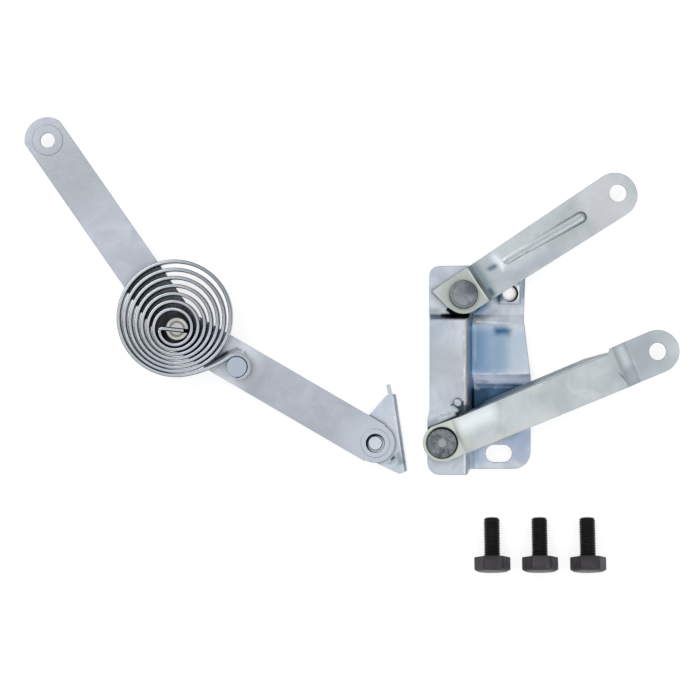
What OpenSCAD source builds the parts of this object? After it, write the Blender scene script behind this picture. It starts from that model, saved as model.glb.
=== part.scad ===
// Car bonnet hinge, laid out flat: body bracket with two riveted links,
// spring stay with its foot, and three loose hinge bolts.
// Origin: centre of the bracket's round fixing hole, on its back face. Z points up.

/* [Bracket] */
// Thickness of the bracket's sheet
bracket_t = 2.5; // [1.5:0.1:3.5]
// Distance from the fixing hole to the bracket's top edge
bracket_top = 17; // [15:0.5:22]
// Distance from the fixing hole to the bracket's bottom edge
bracket_bottom = 105; // [100:1:130]
// Distance from the fixing hole to the bracket's right edge
bracket_right = 12.5; // [11:0.5:20]
// Distance from the fixing hole to the bracket's left edge
bracket_left = 48.2; // [46:0.5:56]
// Height of the raised panel's face above the back face
raised_z = 12.5; // [11.5:0.5:18]
// Height of the upper pivot pad's face above the back face
pivot_pad_z = 7; // [6:0.25:8]
// Height of the middle panel's face above the back face
middle_z = 5.5; // [3.5:0.25:6]
// Outer run of the drawn wall for each millimetre of its height
wall_slope = 0.5; // [0.2:0.05:0.7]
// Inside radius of the bracket's bends
bracket_bend_r = 3.2; // [2.6:0.1:4]
// Diameter of the round fixing hole
fixing_hole_d = 8.5; // [6:0.1:10.5]
// Length of the fixing slot
slot_l = 16; // [13:0.5:20]
// Width of the fixing slot
slot_w = 10.5; // [8:0.1:11]
// Distance from the round hole down to the slot
slot_drop = 95.8; // [92:0.1:97]
// Distance from the round hole left to the slot
slot_shift = 6.4; // [3:0.1:9]

/* [Links] */
// Thickness of the links
link_t = 3; // [2:0.1:4]
// Height of the underside of both bolt eyes
eye_z = 11.2; // [10:0.1:12]
// Diameter of the links' bolt eyes
link_eye_d = 10.4; // [10.2:0.1:11]
// Distance from pivot to bolt eye on the upper link
upper_link_l = 109.5; // [100:0.5:125]
// Half width of the upper link at its bolt eye
upper_half_w = 13.4; // [11:0.1:14]
// Angle of the upper link as it lies
upper_angle = 33.3; // [28:0.1:40]
// Distance from pivot to bolt eye on the lower link
lower_link_l = 139; // [125:0.5:155]
// Half width of the lower link
lower_half_w = 12.8; // [11:0.1:14]
// Angle of the lower link as it lies
lower_angle = 22.9; // [15:0.1:24]
// Rise of the lower link beyond its pivot pad
lower_rise = 1.5; // [0.5:0.1:3]
// Depth of the lower link's folded edge
flange_h = 8; // [4:0.25:9]

/* [Rivets] */
// Diameter of the pivot rivets' shanks
rivet_d = 9; // [7:0.25:10]
// Diameter of the upper pivot rivet's head
upper_head_d = 17; // [15:0.5:19]
// Diameter of the lower pivot rivet's head
lower_head_d = 18.2; // [15:0.5:19]
// Height of the pivot rivets' heads
rivet_head_h = 3.2; // [2:0.1:4]
// Thickness of the friction washers
washer_t = 0.8; // [0.5:0.1:1.2]

/* [Stay] */
// Thickness of the stay's two arms
arm_t = 3; // [2:0.1:4]
// Width of the stay's two arms
arm_w = 24.8; // [22:0.2:28]
// Distance from knee to eye on the long arm
long_arm_l = 136.5; // [125:0.5:150]
// Distance from knee to foot pivot on the lower arm
lower_arm_l = 134.8; // [130:0.2:140]
// Diameter of the hole in the stay's eye
stay_eye_d = 8.8; // [8:0.1:9.5]
// Direction of the long arm from the knee as it lies
long_arm_angle = 124.8; // [110:0.1:140]
// Direction of the lower arm from the foot pivot as it lies
lower_arm_angle = 149.8; // [147:0.1:153]
// Distance from the foot's pivot to its folded edge
foot_edge = 16.8; // [15:0.1:20]
// Rise of the foot's folded edge above its pivot
foot_rise = 29.3; // [25:0.5:34]
// Drop of the foot's folded edge below its pivot
foot_drop = 16.7; // [15:0.5:22]
// Distance from the foot's pivot to its left tip
foot_tip = 19.7; // [16:0.5:24]
// Thickness of the foot's sheet
foot_t = 2.5; // [1.5:0.1:3]
// Height of the foot's face underside above the floor
foot_z = 3.6; // [3.2:0.1:6]
// Diameter of the foot rivet's head
foot_head_d = 8.6; // [7.5:0.1:9]
// Diameter of the foot rivet's shank
foot_rivet_d = 6; // [5:0.1:6.5]

/* [Spring] */
// Thickness of the spring's steel strip
strip_t = 2.1; // [1.4:0.1:2.2]
// Width of the spring's steel strip
strip_w = 12; // [8:0.5:16]
// Number of turns
turns = 7.27; // [6.27:1:8.27]
// Radius of the innermost turn at its start
spring_start_r = 8.5; // [8.4:0.05:9]
// Growth of the radius over one turn
spring_pitch = 3.62; // [3.5:0.01:3.75]
// Shift of the first turn's centre towards the top
spring_drift = 0.69; // [0.5:0.01:0.72]
// Diameter of the slotted knee pin
knee_pin_d = 13.6; // [12.5:0.1:14]
// Diameter of the spring's anchor pin
anchor_d = 12.2; // [9:0.1:13]
// Distance from the knee to the anchor pin
anchor_reach = 41.5; // [41:0.1:46]

/* [Bolts] */
// Thread diameter of the hinge bolts
bolt_d = 10; // [8:0.1:10]
// Width of the bolt heads across their flats
bolt_af = 19; // [16:0.5:21]
// Height of the bolt heads
bolt_head_h = 8.6; // [6:0.1:10]
// Length of the bolts under the head
bolt_l = 23.5; // [14:0.5:30]

/* [Hidden] */
$fn = 72;

// Clearances
run_gap = 0.2; // between faces that slide on each other
pin_gap = 0.05; // radial, between a pin and its hole
seat_gap = 0.3; // round a head in its recess
floor_gap = 0.5; // under the lowest pin heads
cut = 1; // overshoot of a cutting tool

// Pivot centres
upper_pivot = [-28, -0.9];
lower_pivot = [-41, -88.8];
foot_pivot = [-80.5, -89.3];
knee = foot_pivot + lower_arm_l * [cos(lower_arm_angle), sin(lower_arm_angle)];
anchor_below = 1.7; // anchor pin, below the lower arm's middle line
bolt_x = [-10.8, 17.6, 46.2];
bolt_head_y = -165.6;

// Heights that follow from the stack of pieces
upper_link_z = pivot_pad_z + washer_t + run_gap;
lower_link_z = raised_z + washer_t + run_gap;
lower_mid_z = lower_link_z + lower_rise;
lower_arm_z = foot_z + foot_t + washer_t + run_gap;
long_arm_z = lower_arm_z + arm_t + washer_t + run_gap;
spring_z = long_arm_z + arm_t + 0.8;
pin_top_z = spring_z + strip_w + 0.5;
lower_arm_top = lower_arm_z + arm_t;
long_arm_top = long_arm_z + arm_t;

// Shared small sizes
tail_h = 2.4; // riveted-over tails under the sheets
tail_d = 13;
washer_d = 18;
pad_r = 11; // flat of the upper pivot's round boss
wall_x = -26.2; // top of the drawn wall between the raised and the low panels
middle_y = [-48, -19.4]; // lower and upper edge of the middle panel
slope_run = 7; // of the gentle slopes down from it
step_y = -15.2; // top of the step between the raised panel and the upper pivot pad
step_run = 2.2;
tool_r = 60; // reach of large cutting and trimming bodies
knee_shank_d = 10;
knee_foot_d = 15;
anchor_shank_d = 8;
head_recess_h = 1.2; // round seat that the lower pivot's head is sunk in
foot_recess_h = 1.4; // round seat that the foot rivet's head is sunk in
foot_recess_d = 11.2;
slot_angle = -6; // slot across the knee pin
slot_below = 0.6;
spring_left = 1.9; // start of the spiral's centre, left of the pin
spring_side = 0.18; // shift of that centre to the right over one turn
spring_climb = 1.2; // power by which it climbs
stop_lug = lower_pivot + [9.3, 23.8]; // dimple that the lower link's edge stops against
stop_lug_d = 5.4;
stop_lug_h = 3.6;
seat_d = 18; // shallow raised seats round the stay's holes
seat_h = 0.35;
thread_under = 0.2; // a thread's crests lie this much inside its nominal diameter
thread_chamfer = 1.2;

// Points along an arc about c, from angle a0 to a1, in n steps
function arc_points(c, r, a0, a1, n = 12) =
    [for (i = [0:n]) let (a = a0 + (a1 - a0) * i / n) c + r * [cos(a), sin(a)]];

function unit(v) = v / norm(v);
function left_of(v) = [-v[1], v[0]];
function reverse(p) = [for (i = [len(p) - 1:-1:0]) p[i]];

// Arc that rounds the corner b of the line a-b-c to radius r
function bend_arc(a, b, c, r, n) =
    let (u = unit(a - b), v = unit(c - b), half = acos(u * v) / 2)
    let (reach = min(r / tan(half), 0.49 * norm(a - b), 0.49 * norm(c - b)))
    let (fit = reach * tan(half), m = b + unit(u + v) * fit / sin(half))
    let (p = b + u * reach - m, q = b + v * reach - m)
    let (a0 = atan2(p[1], p[0]), turn = atan2(p[0] * q[1] - p[1] * q[0], p * q))
    arc_points(m, fit, a0, a0 + turn, n);

// Open line with every inner corner rounded to radius r
function round_bends(p, r, n = 4) = concat(
    [p[0]],
    [for (i = [1:len(p) - 2]) each bend_arc(p[i - 1], p[i], p[i + 1], r, n)],
    [p[len(p) - 1]]);

// Closed outline from corners [x, y, radius], each rounded to its own radius
function round_corners(k, n = 6) =
    [for (i = [0:len(k) - 1])
        let (a = k[(i + len(k) - 1) % len(k)], b = k[i], c = k[(i + 1) % len(k)])
        each bend_arc([a[0], a[1]], [b[0], b[1]], [c[0], c[1]], b[2], n)];

// Line moved sideways by d, to its left when d is positive
function offset_line(p, d) =
    [for (i = [0:len(p) - 1])
        let (before = p[max(i, 1)] - p[max(i, 1) - 1])
        let (after = p[min(i + 1, len(p) - 1)] - p[min(i, len(p) - 2)])
        let (n0 = left_of(unit(before)), n1 = left_of(unit(after)), m = unit(n0 + n1))
        p[i] + m * d / (m * n0)];

// Section of a sheet of thickness t whose lower face follows the line
function sheet_section(line, t) = concat(line, reverse(offset_line(line, t)));

// Solid whose section in X and Z is extruded along Y from y0 to y1
module along_y(section, y0, y1) {
    translate([0, y1, 0])
        rotate([90, 0, 0])
            linear_extrude(y1 - y0)
                polygon(section);
}

// Solid whose section in Y and Z is extruded along X from x0 to x1
module along_x(section, x0, x1) {
    translate([x0, 0, 0])
        rotate([90, 0, 90])
            linear_extrude(x1 - x0)
                polygon(section);
}

// Rod with one chamfered end at its top
module chamfered_rod(d, h, chamfer) {
    cylinder(d = d, h = h - chamfer);
    translate([0, 0, h - chamfer])
        cylinder(d1 = d, d2 = d - 2 * chamfer, h = chamfer);
}

module washer(outer, inner, t) {
    difference() {
        cylinder(d = outer, h = t);
        translate([0, 0, -cut])
            cylinder(d = inner, h = t + 2 * cut);
    }
}

// Everything below a surface given by its line, down past the floor
module below_line(line, x0, x1) {
    first = line[0];
    last = line[len(line) - 1];
    along_x(concat(line, [[last[0], -tool_r], [first[0], -tool_r]]), x0, x1);
}

bracket_outline = round_corners([
    [-bracket_left, bracket_top - 0.8, 5.5],
    [-bracket_left, -70, 3],
    [-bracket_left - 1.3, -75, 3],
    [-bracket_left - 1.3, -bracket_bottom - 3, 7.2],
    [wall_x + 0.7, -bracket_bottom - 3, 2.2],
    [wall_x + 1.9, -bracket_bottom, 1],
    [bracket_right, -bracket_bottom, 10],
    [bracket_right + 0.2, -52, 12],
    [bracket_right - 4.1, -17, 12],
    [bracket_right - 3.1, 8, 6],
    [bracket_right - 3.1, bracket_top, 3.5]]);

// The pressing's form: all that lies below its face, lowered square to the face
module pressed_form(lower) {
    right_line = round_bends([
        [-tool_r * 2, bracket_t], [middle_y[0] - slope_run, bracket_t], [middle_y[0], middle_z],
        [middle_y[1], middle_z], [middle_y[1] + slope_run, bracket_t], [tool_r, bracket_t]],
        bracket_bend_r);
    left_line = round_bends([
        [-tool_r * 2, raised_z], [step_y, raised_z],
        [step_y + step_run, pivot_pad_z], [tool_r, pivot_pad_z]], bracket_bend_r);
    wall_line = round_bends([
        [-tool_r * 2, raised_z], [wall_x, raised_z],
        [wall_x + wall_slope * (raised_z + tool_r), -tool_r]], bracket_bend_r);
    slant = sqrt(1 + wall_slope * wall_slope);

    below_line(offset_line(right_line, -lower), -tool_r, tool_r);
    intersection() {
        below_line(offset_line(left_line, -lower), -tool_r, tool_r);
        along_y(concat(offset_line(wall_line, -lower), [[-tool_r * 2, -tool_r]]),
            -tool_r * 2, tool_r);
    }
    // round boss under the upper pivot
    translate([upper_pivot[0], upper_pivot[1], 0])
        cylinder(
            h = pivot_pad_z - lower,
            r1 = pad_r + wall_slope * pivot_pad_z - lower * slant,
            r2 = pad_r + wall_slope * lower - lower * slant);
}

module body_bracket() {
    coin_w = 12.4;
    coin_h = 0.8;
    dimple_wall = 1.2;
    color([0.62, 0.68, 0.76])
        difference() {
            union() {
                intersection() {
                    linear_extrude(raised_z + cut)
                        polygon(bracket_outline);
                    difference() {
                        pressed_form(0);
                        pressed_form(bracket_t);
                    }
                }
                // stop dimple for the lower link
                at(stop_lug, raised_z - bracket_t)
                    chamfered_rod(stop_lug_d, bracket_t + stop_lug_h, 0.9);
                // square seat struck up round the fixing hole
                translate([-coin_w / 2, -coin_w / 2, bracket_t])
                    cube([coin_w, coin_w, coin_h]);
            }
            translate([0, 0, -cut])
                cylinder(d = fixing_hole_d, h = bracket_t + coin_h + 2 * cut);
            translate([-slot_shift, -slot_drop, -cut])
                linear_extrude(bracket_t + 2 * cut)
                    obround(slot_l, slot_w);
            at(stop_lug, 0)
                cylinder(d = stop_lug_d - 2 * dimple_wall, h = raised_z + stop_lug_h - dimple_wall);
            at(upper_pivot, 0)
                cylinder(d = rivet_d + 2 * pin_gap, h = pivot_pad_z + cut);
            at(lower_pivot, 0)
                cylinder(d = rivet_d + 2 * pin_gap, h = raised_z + cut);
        }
}

module obround(l, w) {
    square([l - w, w], center = true);
    for (side = [-1, 1])
        translate([side * (l - w) / 2, 0])
            circle(d = w);
}

module at(point, z) {
    translate([point[0], point[1], z])
        children();
}

// Upper link in its own frame: pivot at the origin, bolt eye along +X
module upper_link_shape() {
    bend_x = 11.8;
    bend_run = 3.6;
    pivot_half_w = 11.4;
    end_back = 2.4; // the rounded end's centre lies this far short of the eye
    nose = [[-14.6, 12], [-12.4, -0.3]];
    rib_r = 5.1;
    top = eye_z + link_t;
    outline = concat(
        arc_points([upper_link_l - end_back, 0], upper_half_w, -90, 90, 18),
        nose,
        arc_points([0, 0], pivot_half_w, 208, 268, 8));
    line = round_bends([
        [-tool_r, upper_link_z], [bend_x, upper_link_z],
        [bend_x + bend_run, eye_z], [upper_link_l + tool_r, eye_z]], link_t + 0.4);
    difference() {
        union() {
            intersection() {
                linear_extrude(eye_z + link_t + cut)
                    polygon(outline);
                along_y(sheet_section(line, link_t), -tool_r, tool_r);
            }
            stiffening_rib(rib_r, top, eye_z + 0.2);
        }
        stiffening_rib(rib_r - link_t, eye_z, eye_z - cut);
        translate([0, 0, -cut])
            cylinder(d = rivet_d + 2 * pin_gap, h = eye_z + 3 * link_t);
        translate([upper_link_l, 0, -cut])
            cylinder(d = link_eye_d, h = eye_z + 3 * link_t);
    }
}

// Round-ended rib on a face: it rises out of it, and so widens, towards the bolt eye
module stiffening_rib(r, face, foot) {
    from = [32, 2.9, face + 0.45 - r];
    to = [upper_link_l - 26.5, 0.1, face + 1.5 - r];
    run = to - from;
    intersection() {
        translate(from)
            rotate([0, 0, atan2(run[1], run[0])])
                rotate([0, acos(run[2] / norm(run)), 0]) {
                    cylinder(r = r, h = norm(run));
                    sphere(r = r);
                    translate([0, 0, norm(run)])
                        sphere(r = r);
                }
        translate([0, -tool_r / 2, foot])
            cube([upper_link_l, tool_r, tool_r]);
    }
}

module upper_link() {
    color([0.78, 0.81, 0.80])
        at(upper_pivot, 0)
            rotate([0, 0, upper_angle])
                upper_link_shape();
}

// Lower link in its own frame: pivot at the origin, bolt eye along +X
module lower_link_shape() {
    bend_x = 10.8;
    bend_run = 2.6;
    pivot_half_w = 11.3;
    joggle_x = lower_link_l - 26;
    joggle_run = 9.6;
    fold_in = 2.6; // how far the folded edge's bend lies inside the outline
    fold_from = 16;
    fold_to = joggle_x - 2;
    mid_top = lower_mid_z + link_t;
    outline = concat(
        arc_points([lower_link_l, 0], lower_half_w, -90, 90, 18),
        [[joggle_x, lower_half_w], [fold_to, lower_half_w - fold_in],
            [fold_from, lower_half_w - fold_in]],
        arc_points([0, 0], pivot_half_w, 100, 266, 18));
    line = round_bends([
        [-tool_r, lower_link_z], [bend_x, lower_link_z], [bend_x + bend_run, lower_mid_z],
        [joggle_x, lower_mid_z], [joggle_x + joggle_run, eye_z],
        [lower_link_l + tool_r, eye_z]], link_t + 1);
    fold = [
        [lower_half_w - fold_in - 1.4 * link_t, mid_top - 0.2],
        [lower_half_w - link_t * 1.05, mid_top - flange_h],
        [lower_half_w, mid_top - flange_h],
        [lower_half_w - fold_in + 0.25, mid_top - 0.8],
        [lower_half_w - fold_in - 0.5, mid_top]];
    fold_side = [
        [fold_from - 4, mid_top + cut], [fold_from, mid_top - link_t],
        [fold_from + 12, mid_top - link_t - 1.6], [fold_from + 21, mid_top - flange_h - cut],
        [fold_to - 16, mid_top - flange_h - cut], [fold_to, mid_top - link_t],
        [fold_to + 1, mid_top + cut]];
    difference() {
        union() {
            intersection() {
                linear_extrude(mid_top + cut)
                    polygon(outline);
                along_y(sheet_section(line, link_t), -tool_r, tool_r);
            }
            intersection() {
                along_x(fold, fold_from, fold_to);
                along_y(fold_side, -tool_r, tool_r);
            }
        }
        translate([0, 0, -cut])
            cylinder(d = rivet_d + 2 * pin_gap, h = mid_top + 2 * cut);
        // round seat that the rivet's head is sunk in
        translate([0, 0, lower_link_z + link_t - head_recess_h])
            cylinder(d = lower_head_d + 2 * seat_gap, h = head_recess_h + 2 * cut);
        translate([lower_link_l, 0, -cut])
            cylinder(d = link_eye_d, h = mid_top + 2 * cut);
    }
}

module lower_link() {
    color([0.76, 0.79, 0.77])
        at(lower_pivot, 0)
            rotate([0, 0, lower_angle])
                lower_link_shape();
}

// Pivot rivet: tail under the bracket, shank, and a head with a struck centre
module pivot_rivet(sheet_bottom, head_bottom, head_d, struck_d) {
    struck_h = 0.25;
    translate([0, 0, sheet_bottom - tail_h])
        cylinder(d1 = tail_d - 2, d2 = tail_d, h = tail_h);
    translate([0, 0, sheet_bottom - tail_h / 2])
        cylinder(d = rivet_d, h = head_bottom - sheet_bottom + tail_h);
    translate([0, 0, head_bottom])
        chamfered_rod(head_d, rivet_head_h, 0.8);
    translate([0, 0, head_bottom + rivet_head_h - cut])
        chamfered_rod(struck_d, struck_h + cut, struck_h);
}

module upper_rivet() {
    color([0.48, 0.50, 0.54])
        at(upper_pivot, 0)
            pivot_rivet(pivot_pad_z - bracket_t, upper_link_z + link_t + run_gap,
                upper_head_d, upper_head_d * 0.8);
}

module lower_rivet() {
    sunk = head_recess_h - run_gap;
    color([0.48, 0.50, 0.54])
        at(lower_pivot, 0)
            pivot_rivet(raised_z - bracket_t, lower_link_z + link_t - sunk,
                lower_head_d, lower_head_d / 3);
}

module upper_washer() {
    color([0.35, 0.36, 0.38])
        at(upper_pivot, pivot_pad_z)
            washer(washer_d, rivet_d + 2 * pin_gap, washer_t);
}

module lower_washer() {
    color([0.35, 0.36, 0.38])
        at(lower_pivot, raised_z)
            washer(washer_d, rivet_d + 2 * pin_gap, washer_t);
}

// Foot: a three-cornered plate with its right edge folded down to the floor
module stay_foot() {
    lean = 8.4; // the folded edge leans left towards its top
    top = foot_pivot + [foot_edge - foot_rise * tan(lean), foot_rise];
    bottom = foot_pivot + [foot_edge + foot_drop * tan(lean), -foot_drop];
    tip = foot_pivot - [foot_tip, foot_tip / 9];
    tab_w = 2.4;
    outline = round_corners([
        [top[0], top[1], 0.6],
        [top[0] - 6, top[1] - 1.2, 1],
        [tip[0], tip[1], 11.5],
        [bottom[0] - 4.8, bottom[1] - 1.8, 1.2],
        [bottom[0], bottom[1], 1]]);
    fold = round_bends([[0, 0], [0, foot_z + foot_t], [-tool_r, foot_z + foot_t]], foot_t + 0.6);
    color([0.70, 0.74, 0.80])
        difference() {
            union() {
                intersection() {
                    linear_extrude(foot_z + foot_t)
                        polygon(outline);
                    translate([top[0], top[1], 0])
                        rotate([0, 0, lean])
                            along_y(sheet_section(fold, foot_t), -tool_r, tool_r);
                }
                // upright locating tab at the top of the fold
                translate([top[0] - 4.4, top[1] - 1.5, foot_z])
                    rotate([0, 0, 12])
                        cube([tab_w, 7, foot_t]);
            }
            at(foot_pivot, 0)
                cylinder(d = foot_rivet_d + 2 * pin_gap, h = foot_z + foot_t + cut);
        }
}

module foot_rivet() {
    head_z = lower_arm_top - foot_recess_h + run_gap;
    color([0.66, 0.68, 0.72])
        at(foot_pivot, 0) {
            translate([0, 0, foot_z - tail_h])
                cylinder(d = tail_d - 2, h = tail_h);
            translate([0, 0, foot_z - tail_h / 2])
                cylinder(d = foot_rivet_d, h = head_z - foot_z + tail_h);
            translate([0, 0, head_z])
                chamfered_rod(foot_head_d, 1.7, 0.5);
        }
}

module foot_washer() {
    color([0.35, 0.36, 0.38])
        at(foot_pivot, foot_z + foot_t)
            washer(washer_d - 2, foot_rivet_d + 2 * pin_gap, washer_t);
}

// Flat arm from the knee at the origin along +X; ends are round, cut by the sides
module arm_plate(l, start_r, end_r) {
    linear_extrude(arm_t)
        intersection() {
            union() {
                translate([0, -arm_w])
                    square([l, 2 * arm_w]);
                circle(r = start_r);
                translate([l, 0])
                    circle(r = end_r);
            }
            translate([-arm_w, -arm_w / 2])
                square([l + 2 * arm_w, arm_w]);
        }
}

module at_knee(angle, z) {
    translate([knee[0], knee[1], z])
        rotate([0, 0, angle])
            children();
}

module stay_lower_arm() {
    color([0.71, 0.74, 0.80])
        at_knee(lower_arm_angle + 180, lower_arm_z)
            difference() {
                union() {
                    arm_plate(lower_arm_l, arm_w * 0.55, arm_w * 0.47);
                    translate([lower_arm_l, 0, arm_t])
                        cylinder(d = seat_d - 1, h = seat_h);
                }
                translate([0, 0, -cut])
                    cylinder(d = knee_shank_d + 2 * pin_gap, h = arm_t + 2 * cut);
                translate([lower_arm_l, 0, -cut])
                    cylinder(d = foot_rivet_d + 2 * pin_gap, h = arm_t + 2 * cut);
                translate([lower_arm_l, 0, arm_t - foot_recess_h])
                    cylinder(d = foot_recess_d, h = foot_recess_h + cut);
                translate([anchor_reach, -anchor_below, -cut])
                    cylinder(d = anchor_shank_d + 2 * pin_gap, h = arm_t + 2 * cut);
            }
}

module spring_anchor_pin() {
    color([0.66, 0.70, 0.76])
        at_knee(lower_arm_angle + 180, 0)
            translate([anchor_reach, -anchor_below, 0]) {
                translate([0, 0, lower_arm_z - tail_h])
                    cylinder(d = anchor_d, h = tail_h);
                translate([0, 0, lower_arm_z - tail_h / 2])
                    cylinder(d = anchor_shank_d, h = arm_t + tail_h);
                translate([0, 0, lower_arm_top])
                    chamfered_rod(anchor_d, pin_top_z - lower_arm_top, 0.4);
            }
}

module stay_long_arm() {
    color([0.71, 0.74, 0.80])
        at_knee(long_arm_angle, long_arm_z)
            difference() {
                union() {
                    arm_plate(long_arm_l, arm_w * 0.55, arm_w * 0.55);
                    translate([long_arm_l, 0, arm_t])
                        cylinder(d = seat_d, h = seat_h);
                }
                translate([0, 0, -cut])
                    cylinder(d = knee_shank_d + 2 * pin_gap, h = arm_t + 2 * cut);
                translate([long_arm_l, 0, -cut])
                    cylinder(d = stay_eye_d, h = arm_t + 2 * cut);
            }
}

// Knee pin: head under the arms, shank, and slotted post that drives the spring
module knee_pin() {
    head_top = lower_arm_z - run_gap - washer_t;
    color([0.74, 0.75, 0.74])
        at_knee(0, 0)
            difference() {
                union() {
                    translate([0, 0, floor_gap])
                        cylinder(d = knee_foot_d, h = head_top - floor_gap);
                    translate([0, 0, head_top - cut])
                        cylinder(d = knee_shank_d, h = long_arm_top - head_top + 2 * cut);
                    translate([0, 0, long_arm_top])
                        chamfered_rod(knee_pin_d, pin_top_z - long_arm_top, 0.5);
                }
                // ring groove in the top face
                translate([0, 0, pin_top_z - 0.5])
                    washer(knee_pin_d * 0.7, knee_pin_d * 0.52, 1);
                // slot for the spring's inner end
                translate([0, -slot_below, spring_z - 0.3])
                    rotate([0, 0, slot_angle])
                        translate([-knee_pin_d, -strip_t / 2 - 0.2, 0])
                            cube([2 * knee_pin_d, strip_t + 0.4, strip_w + 2]);
            }
}

module knee_washer() {
    color([0.35, 0.36, 0.38])
        at_knee(0, lower_arm_top + run_gap)
            washer(washer_d, knee_shank_d + 2 * pin_gap, washer_t);
}

module knee_tail_washer() {
    color([0.35, 0.36, 0.38])
        at_knee(0, lower_arm_z - run_gap - washer_t)
            washer(washer_d, knee_shank_d + 2 * pin_gap, washer_t);
}

// Centre of the spiral after n turns: it starts left of the pin and climbs faster and faster
function turn_centre(n) = [spring_side * n - spring_left, spring_drift * pow(n, spring_climb)];

// Middle of the strip after n turns from its start at the left of the pin
function spring_point(n) = turn_centre(n)
    + (spring_start_r + spring_pitch * n) * [cos(180 + 360 * n), sin(180 + 360 * n)];

// Cubic curve from p0 to p3 with handles p1 and p2
function curve_points(p0, p1, p2, p3, n) =
    [for (i = [1:n - 1]) let (t = i / n, s = 1 - t)
        s * s * s * p0 + 3 * s * s * t * p1 + 3 * s * t * t * p2 + t * t * t * p3];

// Flat spiral spring: tang in the pin's slot, eccentric turns, hook round the anchor pin
module spiral_spring() {
    steps = 40;
    from_turn = 0.03;
    hook_r = anchor_d / 2 + 0.15 + strip_t / 2;
    arm_dir = lower_arm_angle + 180;
    anchor = anchor_reach * [cos(arm_dir), sin(arm_dir)]
        + anchor_below * [sin(arm_dir), -cos(arm_dir)];
    tang_dir = [cos(slot_angle), sin(slot_angle)];
    tang_r = 1.6;
    tang_end = [0, -slot_below] - (spring_start_r + spring_left - tang_r) * tang_dir;
    tang_reach = 3.8; // past the pin's middle
    last = spring_point(turns);
    last_dir = 270 + 360 * turns;
    hook_start = 125;
    hook_dir = hook_start - 90;
    hook = arc_points(anchor, hook_r, hook_start, -95, 20);
    handle = 8.5;
    path = concat(
        [[0, -slot_below] + tang_reach * tang_dir],
        arc_points(tang_end - [0, tang_r], tang_r, 90 + slot_angle, 176, 6),
        [for (n = [from_turn:1 / steps:turns]) spring_point(n)],
        curve_points(last, last + handle * [cos(last_dir), sin(last_dir)],
            hook[0] - handle * [cos(hook_dir), sin(hook_dir)], hook[0], 12),
        hook);
    color([0.64, 0.68, 0.72])
        at_knee(0, spring_z)
            linear_extrude(strip_w)
                polygon(concat(offset_line(path, strip_t / 2),
                    reverse(offset_line(path, -strip_t / 2))));
}

// Hex bolt along +Z from the outer face of its head
module hinge_bolt() {
    across_corners = bolt_af / cos(30);
    face_d = bolt_af * 0.96; // round end of the head's chamfer
    chamfer_h = (across_corners + cut - face_d) / 2 * tan(30);
    intersection() {
        cylinder(d = across_corners, h = bolt_head_h, $fn = 6);
        union() {
            cylinder(d1 = face_d, d2 = across_corners + cut, h = chamfer_h);
            translate([0, 0, chamfer_h])
                cylinder(d = across_corners + cut, h = bolt_head_h);
        }
    }
    translate([0, 0, bolt_head_h - cut])
        chamfered_rod(bolt_d - thread_under, bolt_l + cut, thread_chamfer);
}

// Bolt i as it lies: on one flat of its head and the tip of its thread
module lying_bolt(i) {
    tilt = atan((bolt_af - bolt_d + thread_under) / 2 / (bolt_l - thread_chamfer));
    lift = bolt_af / 2 * cos(tilt) + bolt_head_h * sin(tilt);
    color([0.16, 0.16, 0.18])
        translate([bolt_x[i], bolt_head_y, lift])
            rotate([-90 - tilt, 0, 0])
                hinge_bolt();
}

body_bracket();
upper_link();
lower_link();
upper_rivet();
lower_rivet();
upper_washer();
lower_washer();
stay_foot();
foot_rivet();
foot_washer();
stay_lower_arm();
spring_anchor_pin();
stay_long_arm();
knee_pin();
knee_washer();
knee_tail_washer();
spiral_spring();
lying_bolt(0);  // hinge_bolt_1
lying_bolt(1);  // hinge_bolt_2
lying_bolt(2);  // hinge_bolt_3
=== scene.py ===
import math

import bpy
import numpy as np
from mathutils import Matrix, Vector


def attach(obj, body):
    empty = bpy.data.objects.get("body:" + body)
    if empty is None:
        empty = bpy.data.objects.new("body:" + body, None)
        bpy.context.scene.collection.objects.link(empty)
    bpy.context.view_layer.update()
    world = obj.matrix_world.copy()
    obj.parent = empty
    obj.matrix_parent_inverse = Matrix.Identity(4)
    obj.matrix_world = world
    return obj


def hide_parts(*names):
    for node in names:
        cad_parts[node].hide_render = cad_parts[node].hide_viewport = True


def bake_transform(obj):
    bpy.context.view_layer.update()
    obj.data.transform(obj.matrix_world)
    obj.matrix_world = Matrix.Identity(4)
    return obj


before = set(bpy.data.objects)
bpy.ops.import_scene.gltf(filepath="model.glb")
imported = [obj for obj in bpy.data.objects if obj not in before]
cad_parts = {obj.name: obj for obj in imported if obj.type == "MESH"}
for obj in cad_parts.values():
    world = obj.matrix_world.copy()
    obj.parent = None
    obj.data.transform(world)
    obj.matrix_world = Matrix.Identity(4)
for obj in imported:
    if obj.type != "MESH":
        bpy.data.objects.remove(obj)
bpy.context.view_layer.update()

scene = bpy.context.scene


# Values to change: picture and studio, the spring, the bolts

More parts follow.
